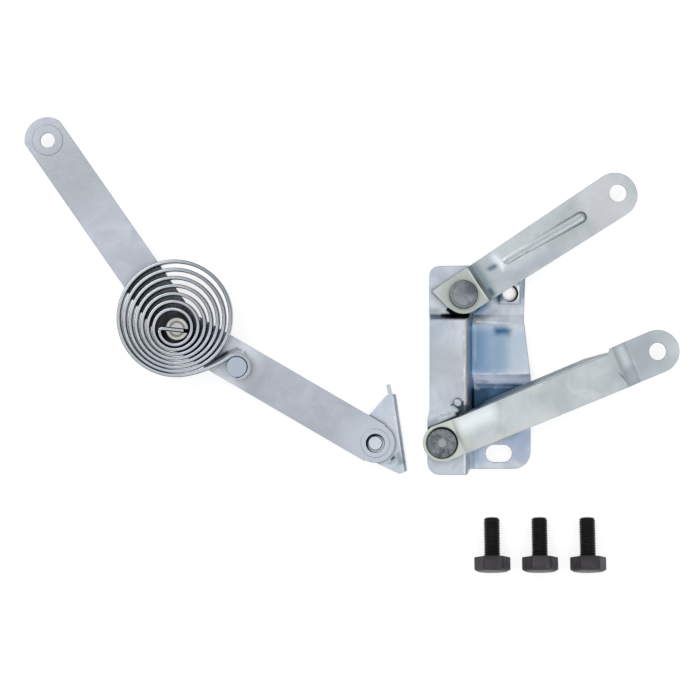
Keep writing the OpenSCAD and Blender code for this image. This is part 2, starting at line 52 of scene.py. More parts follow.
view = {
    "x": -0.09552,  # point of the floor straight below the camera
    "y": -0.03384,
    "height": 1.2,
    "width": 0.42,  # of the floor that the picture shows
    "sensor": 36.0,
    "clip": (0.05, 50.0),
}
studio = {
    "worldLevel": 0.86,
    "worldTint": (0.97, 0.985, 1.0),
    "floorHalf": 6.0,
    "floorWhite": 0.36,
    "floorLift": 0.74,  # added for camera and mirror rays, so that the floor prints white
    "shadeReach": 0.020,
    "shadeRange": (0.16, 0.30),  # openness over which that white fades in, so deep gaps stay dark
    "cardColor": (0.10, 0.16, 0.24),
    "cardRadius": 1.0,
    "cardLow": 0.002,
    "cardHeight": 0.50,
    "cardSides": 48,
    "lampAim": (-0.1, -0.03, 0.0),
    "lamps": {  # place, side of the square, power
        "softboxLeft": ((-0.75, 0.55, 1.1), 0.7, 5.0),
        "softboxRight": ((0.65, -0.35, 1.3), 0.5, 2.0),
    },
}
spring = {
    "knee": (-0.19700424, -0.02149291),  # axis of the knee pin
    "low": 0.0149,
    "width": 0.012,
    "thick": 0.0021,
    "corner": 0.00055,
    "cornerPoints": 6,
    "turns": 7.27,
    "start": 0.0085,  # radius
    "pitch": 0.00362,
    "left": 0.0019,  # start of the spiral's centre, left of the pin
    "side": 0.00018,  # its shift to the right over one turn
    "drift": 0.00069,  # its shift upwards, times the turns to the power of climb
    "climb": 1.2,
    "slotAngle": -6.0,
    "slotBelow": 0.0006,
    "tangPast": 0.0038,  # how far the tang runs beyond the slot's middle
    "bendRadius": 0.0016,
    "bendEnd": 176,
    "anchor": (0.0415, 0.0017),  # along and below the lower arm's axis
    "armAngle": -30.2,
    "hookRadius": 0.0073,
    "hookFrom": 125,
    "hookTo": -95,
    "handle": 0.0085,  # of the curve that leads into the hook
    "wound": 7,  # turns made as half turns
    "winding": 2.5,  # power by which the knee's turn dies out over them
    "halfTurnPoints": 56,
    "nip": 0.00003,  # a ring this far inside each end keeps the end's shading off the strip
}
bolt = {
    "places": (-0.0108, 0.0176, 0.0462),  # x of each bolt
    "headY": -0.1656,
    "lift": 0.0110415,  # height of the axis at the head's outer face
    "tilt": 11.655,  # how far the axis dips from there to the tip
    "flats": 0.019,
    "corners": 1.135,  # reach of the hexagon's corners, in half flats
    "head": 0.0086,
    "faceRings": (0.30, 0.62),  # radii on the outer face, in half flats
    "face": 0.93,  # where the chamfer starts, in half flats
    "chamferRings": (0.33, 0.66, 0.94),
    "slope": 0.0017 / 0.003,  # of the chamfer
    "edge": 0.00006,
    "round": 0.0003,
    "rim": 0.0004,
    "underside": 0.92,  # a ring on the head's inner face, in half flats
    "length": 0.0235,
    "major": 0.0098,
    "depth": 0.00062,
    "pitch": 0.0015,
    "threadStart": 0.0002,
    "rowsPerPitch": 8,
    "groove": (2.5, 0.12),  # steepness and flat share of the thread's valley
    "runOut": 0.0016,
    "point": 0.0012,  # length of the tip's chamfer
    "tipFace": 0.0016,  # how far the tip's flat is inside the thread
    "around": 72,
}


# Helpers

def fill(links, socket, value):
    # an output is linked to the socket; a number or tuple is set on it
    if isinstance(value, bpy.types.NodeSocket):
        links.new(value, socket)
    else:
        socket.default_value = value


def blankTree(owner):
    # nodes and links of the owner's tree, switched on and emptied
    owner.use_nodes = True
    owner.node_tree.nodes.clear()
    return owner.node_tree.nodes, owner.node_tree.links


def mathNode(nodes, links, operation, a, b=None, clamp=False):
    # a, or a and b, put through one operation
    node = nodes.new("ShaderNodeMath")
    node.operation = operation
    node.use_clamp = clamp
    fill(links, node.inputs[0], a)
    if b is not None:
        fill(links, node.inputs[1], b)
    return node.outputs[0]


def vectorNode(nodes, links, operation, a, b=None):
    # the same for vectors, where some operations put out a number
    node = nodes.new("ShaderNodeVectorMath")
    node.operation = operation
    fill(links, node.inputs[0], a)
    if b is not None:
        fill(links, node.inputs[1], b)
    return node.outputs["Value" if operation in ("DOT_PRODUCT", "DISTANCE") else "Vector"]


def rangeNode(nodes, links, value, low, high, toLow=0.0, toHigh=1.0):
    # value from low to high carried to toLow to toHigh, eased at both ends and held beyond them
    node = nodes.new("ShaderNodeMapRange")
    node.interpolation_type = "SMOOTHSTEP"
    for label, end in (("From Min", low), ("From Max", high), ("To Min", toLow), ("To Max", toHigh)):
        node.inputs[label].default_value = end
    links.new(value, node.inputs["Value"])
    return node.outputs["Result"]


def noiseNode(nodes, links, vector, **settings):
    # noise at the vector, its other sockets filled by name
    node = nodes.new("ShaderNodeTexNoise")
    links.new(vector, node.inputs["Vector"])
    for label, value in settings.items():
        fill(links, node.inputs[label], value)
    return node.outputs["Fac"]


def opennessNode(nodes, samples):
    # 1 in the open, less the more of the sky near things hide
    node = nodes.new("ShaderNodeAmbientOcclusion")
    node.samples = samples
    return node.outputs["AO"], node.inputs["Distance"]


def lightPathMask(nodes, links):
    # largest of the camera, glossy and transmission flags
    path = nodes.new("ShaderNodeLightPath").outputs
    seen = mathNode(nodes, links, "MAXIMUM", path["Is Camera Ray"], path["Is Glossy Ray"])
    return mathNode(nodes, links, "MAXIMUM", seen, path["Is Transmission Ray"])


def meshObject(name, points, faces, smooth=True):
    # object at the origin; faces of five corners or more stay flat
    mesh = bpy.data.meshes.new(name)
    mesh.from_pydata([tuple(p) for p in points], [], [tuple(f) for f in faces])
    mesh.update()
    mesh.polygons.foreach_set("use_smooth", [smooth and len(face) < 5 for face in faces])
    made = bpy.data.objects.new(name, mesh)
    scene.collection.objects.link(made)
    return made


# Camera, floor and light

def makeCamera():
    # looks straight down; lens is sensor width times height over the width of floor seen
    data = bpy.data.cameras.new("camera")
    data.sensor_width = view["sensor"]
    data.lens = view["sensor"] * view["height"] / view["width"]
    data.clip_start, data.clip_end = view["clip"]
    camera = bpy.data.objects.new("camera", data)
    camera.location = (view["x"], view["y"], view["height"])
    scene.collection.objects.link(camera)
    scene.camera = camera
    scene.view_settings.view_transform = "Standard"


def makeLamps():
    # square lamps, each turned to face the same point
    for name, (place, side, power) in studio["lamps"].items():
        data = bpy.data.lights.new(name, "AREA")
        data.shape = "SQUARE"
        data.size = side
        data.energy = power
        lamp = bpy.data.objects.new(name, data)
        lamp.location = place
        lamp.rotation_mode = "QUATERNION"
        lamp.rotation_quaternion = (Vector(studio["lampAim"]) - Vector(place)).to_track_quat("-Z", "Y")
        scene.collection.objects.link(lamp)


def makeWorld():
    # plain pale light, white where the camera or a reflection sees it
    world = bpy.data.worlds.new("studioWorld")
    scene.world = world
    nodes, links = blankTree(world)
    light = nodes.new("ShaderNodeBackground")
    light.inputs["Color"].default_value = (*studio["worldTint"], 1)
    light.inputs["Strength"].default_value = studio["worldLevel"]
    seen = nodes.new("ShaderNodeBackground")
    seen.inputs["Color"].default_value = (1, 1, 1, 1)
    mix = nodes.new("ShaderNodeMixShader")
    out = nodes.new("ShaderNodeOutputWorld")
    links.new(lightPathMask(nodes, links), mix.inputs[0])
    links.new(light.outputs[0], mix.inputs[1])
    links.new(seen.outputs[0], mix.inputs[2])
    links.new(mix.outputs[0], out.inputs["Surface"])


def makeFloor():
    # matt board that keeps shadows, plus white for camera and mirror rays where it lies open
    half = studio["floorHalf"]
    corners = [(-half, -half, 0), (half, -half, 0), (half, half, 0), (-half, half, 0)]
    floor = meshObject("studioFloor", corners, [(0, 1, 2, 3)], smooth=False)
    paper = bpy.data.materials.new("floorPaper")
    nodes, links = blankTree(paper)
    board = nodes.new("ShaderNodeBsdfDiffuse")
    white = studio["floorWhite"]
    board.inputs["Color"].default_value = (white, white, white, 1)
    openness, reach = opennessNode(nodes, 16)
    reach.default_value = studio["shadeReach"]
    lit = rangeNode(nodes, links, openness, *studio["shadeRange"], 0.0, studio["floorLift"])
    lift = nodes.new("ShaderNodeEmission")
    links.new(mathNode(nodes, links, "MULTIPLY", lightPathMask(nodes, links), lit), lift.inputs["Strength"])
    both = nodes.new("ShaderNodeAddShader")
    out = nodes.new("ShaderNodeOutputMaterial")
    links.new(board.outputs[0], both.inputs[0])
    links.new(lift.outputs[0], both.inputs[1])
    links.new(both.outputs[0], out.inputs["Surface"])
    floor.data.materials.append(paper)


def makeCard():
    # dark wall round the table, seen only by reflections, which gives the bends their dark lines
    count = studio["cardSides"]
    turn = np.linspace(0, 2 * math.pi, count, endpoint=False)
    ring = np.stack([view["x"] + studio["cardRadius"] * np.cos(turn),
                     view["y"] + studio["cardRadius"] * np.sin(turn)], 1)
    low = np.column_stack([ring, np.full(count, studio["cardLow"])])
    high = np.column_stack([ring, np.full(count, studio["cardHeight"])])
    faces = [(i, (i + 1) % count, count + (i + 1) % count, count + i) for i in range(count)]
    card = meshObject("studioCard", np.concatenate([low, high]), faces)
    dark = bpy.data.materials.new("cardDark")
    nodes, links = blankTree(dark)
    glow = nodes.new("ShaderNodeEmission")
    glow.inputs["Color"].default_value = (*studio["cardColor"], 1)
    out = nodes.new("ShaderNodeOutputMaterial")
    links.new(glow.outputs[0], out.inputs["Surface"])
    card.data.materials.append(dark)
    card.visible_camera = False
    card.visible_diffuse = False
    card.visible_shadow = False


makeCamera()
makeWorld()
makeFloor()
makeCard()
makeLamps()
print("camera, floor and light are made")


# Shared effects, as node groups that put out masks, heights and normals

def newGroup(name, inputs, outputs):
    # empty group with its sockets, as nodes, links, start outputs and end inputs
    group = bpy.data.node_groups.new(name, "ShaderNodeTree")
    for label, kind, value in inputs:
        socket = group.interface.new_socket(label, in_out="INPUT", socket_type="NodeSocket" + kind)
        if value is not None:
            socket.default_value = value
    for label, kind in outputs:
        group.interface.new_socket(label, in_out="OUTPUT", socket_type="NodeSocket" + kind)
    nodes = group.nodes
    start, end = nodes.new("NodeGroupInput").outputs, nodes.new("NodeGroupOutput").inputs
    return group, nodes, group.links, start, end


def makeMottle():
    # zinc plate's cloud: a slow noise and a fine one, each spread to 0..1 and mixed by Fine
    group, nodes, links, start, end = newGroup(
        "zincMottle",
        [("Vector", "Vector", None), ("Scale", "Float", 60.0), ("Fine", "Float", 0.35)],
        [("Cloud", "Float"), ("Grain", "Float")])
    fineScale = mathNode(nodes, links, "MULTIPLY", start["Scale"], 22.0)
    slow = noiseNode(nodes, links, start["Vector"], Scale=start["Scale"], Detail=5.0, Roughness=0.62,
                     Distortion=0.6)
    fine = noiseNode(nodes, links, start["Vector"], Scale=fineScale, Detail=3.0)
    grain = rangeNode(nodes, links, fine, 0.3, 0.72)
    mix = nodes.new("ShaderNodeMix")
    mix.data_type = "FLOAT"
    links.new(start["Fine"], mix.inputs[0])
    links.new(rangeNode(nodes, links, slow, 0.36, 0.66), mix.inputs[2])
    links.new(grain, mix.inputs[3])
    links.new(mix.outputs[0], end["Cloud"])
    links.new(grain, end["Grain"])
    return group


def makeEdgeWear():
    # edge mask: how far the rounded normal turns from the true one; the rounded normal goes out too
    group, nodes, links, start, end = newGroup(
        "edgeWear",
        [("Radius", "Float", 0.0004)],
        [("Edge", "Float"), ("Rounded", "Vector")])
    bevel = nodes.new("ShaderNodeBevel")
    bevel.samples = 4
    links.new(start["Radius"], bevel.inputs["Radius"])
    trueNormal = nodes.new("ShaderNodeNewGeometry").outputs["Normal"]
    likeness = vectorNode(nodes, links, "DOT_PRODUCT", bevel.outputs["Normal"], trueNormal)
    links.new(rangeNode(nodes, links, likeness, 0.995, 0.82), end["Edge"])
    links.new(bevel.outputs["Normal"], end["Rounded"])
    return group


def makeWaves():
    # height of pressed sheet: slow waves plus fine roll marks times Grain Height
    group, nodes, links, start, end = newGroup(
        "sheetWaves",
        [("Vector", "Vector", None), ("Scale", "Float", 30.0), ("Grain Height", "Float", 0.1)],
        [("Height", "Float")])
    fineScale = mathNode(nodes, links, "MULTIPLY", start["Scale"], 40.0)
    slow = noiseNode(nodes, links, start["Vector"], Scale=start["Scale"], Detail=2.0)
    fine = noiseNode(nodes, links, start["Vector"], Scale=fineScale, Detail=4.0, Roughness=0.7)
    grain = mathNode(nodes, links, "MULTIPLY", fine, start["Grain Height"])
    links.new(mathNode(nodes, links, "ADD", slow, grain), end["Height"])
    return group


def makeSoftBox():
    # mask of a turned box seen from above: the product of a falling ramp on each axis, edges ragged by noise
    group, nodes, links, start, end = newGroup(
        "softBox",
        [("Vector", "Vector", None), ("Centre", "Vector", None), ("Half", "Vector", (0.01, 0.01, 1.0)),
         ("Angle", "Float", 0.0), ("Soft", "Float", 0.004), ("Ragged", "Float", 0.0015)],
        [("Mask", "Float")])
    turned = nodes.new("ShaderNodeVectorRotate")
    turned.rotation_type = "Z_AXIS"
    links.new(start["Vector"], turned.inputs["Vector"])
    links.new(start["Centre"], turned.inputs["Center"])
    links.new(mathNode(nodes, links, "MULTIPLY", start["Angle"], -1.0), turned.inputs["Angle"])
    away = vectorNode(nodes, links, "SUBTRACT", turned.outputs[0], start["Centre"])
    past = vectorNode(nodes, links, "SUBTRACT", vectorNode(nodes, links, "ABSOLUTE", away), start["Half"])
    parts = nodes.new("ShaderNodeSeparateXYZ")
    links.new(past, parts.inputs[0])
    noise = noiseNode(nodes, links, start["Vector"], Scale=160.0, Detail=3.0)
    wander = mathNode(nodes, links, "SUBTRACT", noise, 0.5)
    wander = mathNode(nodes, links, "MULTIPLY", wander, start["Ragged"])
    falls = []
    for axis in ("X", "Y"):
        reach = mathNode(nodes, links, "ADD", parts.outputs[axis], wander)
        reach = mathNode(nodes, links, "DIVIDE", reach, start["Soft"])
        falls.append(rangeNode(nodes, links, reach, -0.5, 0.5, 1.0, 0.0))
    links.new(mathNode(nodes, links, "MULTIPLY", *falls), end["Mask"])
    return group


def makeGapShade():
    # painted shade for narrow gaps: 1 in the open and falling to 0 in narrow gaps, openness raised to a
    # power
    group, nodes, links, start, end = newGroup(
        "paintedGapShade",
        [("Distance", "Float", 0.008), ("Power", "Float", 1.5)],
        [("Open", "Float")])
    openness, reach = opennessNode(nodes, 12)
    links.new(start["Distance"], reach)
    links.new(mathNode(nodes, links, "POWER", openness, start["Power"]), end["Open"])
    return group


mottleGroup = makeMottle()
softBoxGroup = makeSoftBox()
gapShadeGroup = makeGapShade()
edgeGroup = makeEdgeWear()
wavesGroup = makeWaves()
print("effects are made")


# Materials

class Metal:
    # one metal being wired; its helpers return output sockets

    def __init__(self, name):
        self.material = bpy.data.materials.new(name)
        self.nodes, self.links = blankTree(self.material)
        self.bsdf = self.nodes.new("ShaderNodeBsdfPrincipled")
        out = self.nodes.new("ShaderNodeOutputMaterial")
        self.links.new(self.bsdf.outputs[0], out.inputs["Surface"])
        self.place = self.nodes.new("ShaderNodeTexCoord").outputs["Object"]

    def group(self, tree, **values):
        # a shared effect read at the object's own coordinates
        node = self.nodes.new("ShaderNodeGroup")
        node.node_tree = tree
        if "Vector" in node.inputs:
            self.links.new(self.place, node.inputs["Vector"])
        for label, value in values.items():
            node.inputs[label.replace("_", " ")].default_value = value
        return node.outputs

    def mixed(self, mask, first, second):
        # first where the mask is 0, second where it is 1
        node = self.nodes.new("ShaderNodeMix")
        node.data_type = "RGBA"
        self.links.new(mask, node.inputs[0])
        for socket, value in ((node.inputs[6], first), (node.inputs[7], second)):
            fill(self.links, socket, (*value, 1) if isinstance(value, tuple) else value)
        return node.outputs[2]

    def calc(self, operation, a, b=None, clamp=False):
        # one operation on numbers or outputs
        return mathNode(self.nodes, self.links, operation, a, b, clamp)

    def spread(self, value, low, high, toLow=0.0, toHigh=1.0):
        # low to high carried to toLow to toHigh
        return rangeNode(self.nodes, self.links, value, low, high, toLow, toHigh)

    def near(self, centre, inner, outer):
        # 1 within inner of the centre, 0 beyond outer, in metres
        distance = vectorNode(self.nodes, self.links, "DISTANCE", self.place, centre)
        return self.spread(distance, inner, outer, 1.0, 0.0)

    def crescent(self, centre, reach, lean, radius, soft):
        # inside the reach but outside a circle that leans away: a sliver along one side
        leant = tuple(c + l for c, l in zip(centre, (*lean, 0.0)))
        inside = self.near(centre, reach, reach + 0.0002)
        return self.calc("SUBTRACT", inside, self.near(leant, radius - soft, radius + soft), clamp=True)

    def tinted(self, color, tints):
        # each tint is a centre, an inner and an outer radius, and a colour
        for centre, inner, outer, tint in tints:
            color = self.mixed(self.near(centre, inner, outer), color, tint)
        return color

    def between(self, low, high):
        # 1 on faces between two heights
        height = self.nodes.new("ShaderNodeSeparateXYZ")
        self.links.new(self.place, height.inputs[0])
        above = self.calc("GREATER_THAN", height.outputs["Z"], low)
        return self.calc("MULTIPLY", above, self.calc("LESS_THAN", height.outputs["Z"], high))

    def attribute(self, name):
        # a value that the mesh carries at its points
        node = self.nodes.new("ShaderNodeAttribute")
        node.attribute_name = name
        return node.outputs["Fac"]

    def gapShaded(self, color, distance, power, dark):
        # painted shade: towards dark in narrow gaps
        return self.mixed(self.group(gapShadeGroup, Distance=distance, Power=power)["Open"], dark, color)

    def bump(self, height, depth, strength=1.0, normal=None):
        # normal tipped by the height's slope
        node = self.nodes.new("ShaderNodeBump")
        node.inputs["Distance"].default_value = depth
        node.inputs["Strength"].default_value = strength
        self.links.new(height, node.inputs["Height"])
        if normal is not None:
            self.links.new(normal, node.inputs["Normal"])
        return node.outputs["Normal"]

    def finish(self, color, roughness, normal, metallic=1.0):
        # surface values put on the shader
        fill(self.links, self.bsdf.inputs["Metallic"], metallic)
        fill(self.links, self.bsdf.inputs["Roughness"], roughness)
        self.links.new(color, self.bsdf.inputs["Base Color"])
        self.links.new(normal, self.bsdf.inputs["Normal"])
        return self.material


# each look's last entry is the reach and power of its painted shade in narrow gaps
zinc = {
    "stay": {"dark": (0.37, 0.39, 0.44), "light": (0.455, 0.475, 0.53), "edge": (0.56, 0.59, 0.64),
             "scale": 60.0, "fine": 0.3, "rough": (0.42, 0.56), "waveScale": 22.0, "waveDepth": 0.0004,
             "bevel": 0.0005, "gapShade": (0.006, 0.35)},
    "foot": {"dark": (0.46, 0.51, 0.57), "light": (0.56, 0.61, 0.67), "edge": (0.66, 0.70, 0.74),
             "scale": 90.0, "fine": 0.3, "rough": (0.40, 0.52), "waveScale": 30.0, "waveDepth": 0.0004,
             "bevel": 0.0005, "gapShade": (0.002, 1.6)},
    "bracket": {"dark": (0.39, 0.44, 0.51), "light": (0.55, 0.59, 0.64), "edge": (0.66, 0.69, 0.73),
                "scale": 55.0, "fine": 0.10, "rough": (0.30, 0.42), "waveScale": 38.0, "waveDepth": 0.0016,
                "bevel": 0.0011, "gapShade": (0.006, 0.5)},
    "link": {"dark": (0.395, 0.43, 0.45), "light": (0.52, 0.56, 0.58), "edge": (0.58, 0.61, 0.61),
             "scale": 50.0, "fine": 0.2, "rough": (0.32, 0.44), "waveScale": 28.0, "waveDepth": 0.0009,
             "bevel": 0.0007, "gapShade": (0.006, 0.45)},
    "pin": {"dark": (0.36, 0.36, 0.34), "light": (0.53, 0.53, 0.50), "edge": (0.62, 0.62, 0.60),
            "scale": 120.0, "fine": 0.35, "rough": (0.35, 0.5), "waveScale": 60.0, "waveDepth": 0.0002,
            "bevel": 0.0003, "gapShade": (0.004, 2.5)},
}


def zincMaterial(name, look, tints=(), paintedMarks=(), shadowCrescents=()):
    # plated metal: cloudy colour, round tints, worn edges, soft-box marks that are mostly painted light and
    # shade, painted shadow slivers, painted shade in narrow gaps
    metal = Metal(name)
    mottle = metal.group(mottleGroup, Scale=look["scale"], Fine=look["fine"])
    waves = metal.group(wavesGroup, Scale=look["waveScale"], Grain_Height=0.008)
    wear = metal.group(edgeGroup, Radius=look["bevel"])
    color = metal.tinted(metal.mixed(mottle["Cloud"], look["dark"], look["light"]), tints)
    color = metal.mixed(wear["Edge"], color, look["edge"])
    metallic = 1.0
    for mark in paintedMarks:
        box = metal.group(softBoxGroup, Centre=(*mark["at"], 0.0), Half=(*mark["half"], 1.0),
                          Angle=math.radians(mark.get("angle", 0.0)), Soft=mark["soft"],
                          Ragged=mark.get("ragged", 0.0015))
        share = metal.calc("MULTIPLY", box["Mask"], mark.get("share", 1.0))
        if "floor" in mark:
            share = metal.calc("MULTIPLY", share, metal.between(*mark["floor"]))
        color = metal.mixed(share, color, mark["color"])
        if "matt" in mark:
            dull = metal.calc("MULTIPLY", share, mark["matt"])
            metallic = metal.calc("SUBTRACT", metallic, dull, clamp=True)
    # painted shadow slivers, near black
    for shadowSliver in shadowCrescents:
        color = metal.mixed(metal.crescent(*shadowSliver), color, (0.012, 0.015, 0.018))
    # painted shade in narrow gaps, towards near black
    color = metal.gapShaded(color, *look["gapShade"], (0.004, 0.006, 0.009))
    roughness = metal.spread(mottle["Grain"], 0.0, 1.0, *look["rough"])
    normal = metal.bump(waves["Height"], look["waveDepth"], normal=wear["Rounded"])
    return metal.finish(color, roughness, normal, metallic)


# Painted marks, most of them painted reflections, highlights and shade: place from above, half size, width
# of the soft edge, turn in degrees, share, colour. Some keep to faces between two heights (floor), have a
# rougher edge (ragged) or take the mirror out of the metal (matt)

upperPivot = (-0.028, -0.0009, 0.012)
lowerPivot = (-0.041, -0.0888, 0.016)
footPivot = (-0.0805, -0.0893, 0.0091)
armEye = (-0.262, 0.074, 0.012)
fixingHole = (0.0, 0.0, 0.0025)
anchorPin = (-0.16199, -0.04384, 0.0209)
anchorTop = (*anchorPin[:2], 0.0269)
lowerHead = (*lowerPivot[:2], 0.0187)
lowFaces = (-0.001, 0.0062)  # heights of the bracket's low sheet and middle panel
raisedFace = (0.01245, 0.0126)  # of its raised panel
padFaces = (0.0065, 0.0122)  # of the pad under the upper link's nose
armFace = (0.0095, 0.0105)  # of the lower arm's upper side


def onFaces(heights, paintedMarks):
    # the same marks, kept to faces between two heights
    return tuple({**mark, "floor": heights} for mark in paintedMarks)


sheetPaintedLight = (
    # pad's upper corner, a little blue: a painted reflection
    {"at": (-0.0415, 0.0118), "half": (0.004, 0.0035), "soft": 0.006, "share": 0.6,
     "color": (0.38, 0.41, 0.51)},
    # middle of the raised panel, greyer: painted shade
    {"at": (-0.04, -0.043), "half": (0.012, 0.012), "soft": 0.016, "share": 0.75,
     "color": (0.42, 0.455, 0.485)},
)
raisedPaintedShade = (
    # painted shade: a fine dark line along the right, and shadow along the lower link and round the dimple
    {"at": (-0.0282, -0.041), "half": (0.0001, 0.019), "soft": 0.0012, "share": 0.55,
     "color": (0.3, 0.32, 0.34)},
    {"at": (-0.0373, -0.0755), "half": (0.013, 0.0008), "soft": 0.0014, "angle": 23.5, "share": 0.95,
     "color": (0.02, 0.025, 0.03)},
    {"at": (-0.0464, -0.0765), "half": (0.0034, 0.0014), "soft": 0.003, "angle": 20.0, "share": 0.6,
     "color": (0.28, 0.31, 0.37)},
    {"at": (-0.0386, -0.0722), "half": (0.003, 0.0005), "soft": 0.0018, "angle": 10.0, "share": 0.6,
     "color": (0.16, 0.22, 0.25), "ragged": 0.003},
    {"at": (-0.03, -0.0705), "half": (0.0035, 0.0012), "soft": 0.002, "angle": 30.0,
     "color": (0.01, 0.015, 0.02)},
    {"at": (-0.0342, -0.0662), "half": (0.0017, 0.0004), "soft": 0.0012, "angle": 20.0,
     "color": (0.01, 0.015, 0.02)},
    {"at": (-0.0293, -0.0672), "half": (0.003, 0.002), "soft": 0.0016, "angle": 35.0, "share": 0.95,
     "color": (0.025, 0.05, 0.06), "ragged": 0.005},
)
wallPaintedLight = (
    # drawn wall, painted reflection: warm and light above, blue below, with a dark patch of painted shade by
    # the lower link
    {"at": (-0.024, -0.054), "half": (0.0045, 0.038), "soft": 0.001, "share": 0.85,
     "color": (0.66, 0.645, 0.65), "floor": (0.0088, 0.01244)},
    {"at": (-0.0274, -0.054), "half": (0.0004, 0.038), "soft": 0.0012, "share": 0.85,
     "color": (0.37, 0.35, 0.35)},
    {"at": (-0.0232, -0.054), "half": (0.0032, 0.038), "soft": 0.001, "share": 0.9,
     "color": (0.3, 0.52, 0.74), "floor": (0.0062, 0.0088)},
    {"at": (-0.0222, -0.035), "half": (0.0022, 0.016), "soft": 0.003, "share": 0.8,
     "color": (0.58, 0.82, 1.0), "floor": (0.0045, 0.0062)},
    {"at": (-0.0225, -0.104), "half": (0.004, 0.012), "soft": 0.002, "share": 0.9, "matt": 0.7,
     "color": (0.6, 0.67, 0.8), "floor": (0.0021, 0.008)},
    {"at": (-0.0262, -0.069), "half": (0.0026, 0.0024), "soft": 0.002, "share": 0.9, "matt": 0.5,
     "color": (0.015, 0.045, 0.055), "ragged": 0.004},
)
lowPaintedLight = (
    # painted reflection on the middle panel: blue, deeper at its left, one dark spot, and a painted
    # highlight line round its upper corner
    {"at": (0.003, -0.034), "half": (0.008, 0.012), "soft": 0.01, "share": 0.7,
     "color": (0.4, 0.48, 0.58)},
    {"at": (-0.0135, -0.0335), "half": (0.012, 0.014), "soft": 0.009, "color": (0.235, 0.34, 0.465),
     "share": 0.9},
    {"at": (-0.0195, -0.0345), "half": (0.005, 0.0135), "soft": 0.011, "color": (0.14, 0.235, 0.38),
     "share": 0.85},
    {"at": (-0.0042, -0.0226), "half": (0.005, 0.0018), "soft": 0.005, "color": (0.035, 0.1, 0.22),
     "share": 0.95, "ragged": 0.003},
    {"at": (-0.0065, -0.0177), "half": (0.0135, 0.0002), "soft": 0.0012, "angle": -4.0, "share": 0.7,
     "color": (0.8, 0.84, 0.88)},
    {"at": (-0.0208, -0.03), "half": (0.0002, 0.01), "soft": 0.0026, "share": 0.3,
     "color": (0.75, 0.8, 0.86)},
    # fold below it, lavender slope, then the navy of the sheet above the lower link: painted highlight,
    # reflection and shade
    {"at": (-0.006, -0.0482), "half": (0.016, 0.0001), "soft": 0.0012, "share": 0.6,
     "color": (0.78, 0.82, 0.88)},
    {"at": (-0.006, -0.0522), "half": (0.021, 0.0026), "soft": 0.003, "color": (0.48, 0.53, 0.66)},
    {"at": (0.001, -0.052), "half": (0.015, 0.0024), "soft": 0.005, "color": (0.5, 0.57, 0.72),
     "matt": 0.9},
    {"at": (-0.0163, -0.0523), "half": (0.0044, 0.0003), "soft": 0.0016, "angle": -8.0, "share": 0.7,
     "color": (0.2, 0.25, 0.4)},
    {"at": (-0.011, -0.064), "half": (0.015, 0.0082), "soft": 0.004, "color": (0.016, 0.05, 0.1),
     "share": 0.97, "ragged": 0.006},
    {"at": (0.001, -0.0625), "half": (0.0125, 0.0052), "soft": 0.005, "color": (0.06, 0.14, 0.24),
     "share": 0.85, "ragged": 0.005},
    {"at": (-0.006, -0.0553), "half": (0.014, 0.001), "soft": 0.0016, "share": 0.92,
     "color": (0.08, 0.15, 0.25)},
    # sheet beside the slot, darker towards the link: painted shade
    {"at": (0.004, -0.085), "half": (0.012, 0.006), "soft": 0.012, "color": (0.27, 0.34, 0.47),
     "share": 0.8},
    {"at": (0.007, -0.0935), "half": (0.005, 0.006), "soft": 0.008, "color": (0.33, 0.4, 0.54),
     "share": 0.75},
    {"at": (-0.0175, -0.0965), "half": (0.004, 0.005), "soft": 0.006, "color": (0.36, 0.44, 0.6),
     "share": 0.75},
    # a painted highlight and a band of painted shade, upright, right of the fixing hole
    {"at": (0.0052, 0.0004), "half": (0.0006, 0.004), "soft": 0.0014, "share": 0.8,
     "color": (0.9, 0.93, 0.96)},
    {"at": (0.0082, 0.0034), "half": (0.001, 0.0065), "soft": 0.0024, "share": 0.8,
     "color": (0.2, 0.25, 0.34)},
    # painted blue shade beside the upper link's nose and round the fixing hole, darker grey streaks between
    # them
    {"at": (-0.017, -0.0085), "half": (0.005, 0.0022), "soft": 0.005, "angle": 35.0, "share": 0.9,
     "color": (0.1, 0.21, 0.36)},
    {"at": (-0.006, 0.0000), "half": (0.0022, 0.005), "soft": 0.004, "color": (0.05, 0.11, 0.2),
     "share": 0.9},
    {"at": (-0.012, -0.0125), "half": (0.006, 0.0012), "soft": 0.004, "angle": 25.0, "share": 0.6,
     "color": (0.2, 0.23, 0.3), "ragged": 0.004},
)
nosePaintedShadow = (
    # painted shadow: black under the upper link's nose, along the step, and grey shade on the pad to its
    # left
    {"at": (-0.033, -0.0135), "half": (0.0085, 0.0014), "soft": 0.002, "color": (0.004, 0.006, 0.01)},
    {"at": (-0.0349, -0.0112), "half": (0.0036, 0.0013), "soft": 0.001, "angle": -34.0,
     "color": (0.004, 0.006, 0.01)},
    {"at": (-0.047, -0.0105), "half": (0.005, 0.0014), "soft": 0.004, "color": (0.2, 0.22, 0.25),
     "share": 0.6},
)
# all of the bracket's painted reflections, highlights and shade
bracketPaintedLight = (
    *sheetPaintedLight, *onFaces(raisedFace, raisedPaintedShade), *wallPaintedLight, *onFaces(lowFaces, lowPaintedLight),
    *onFaces(padFaces, nosePaintedShadow),
)
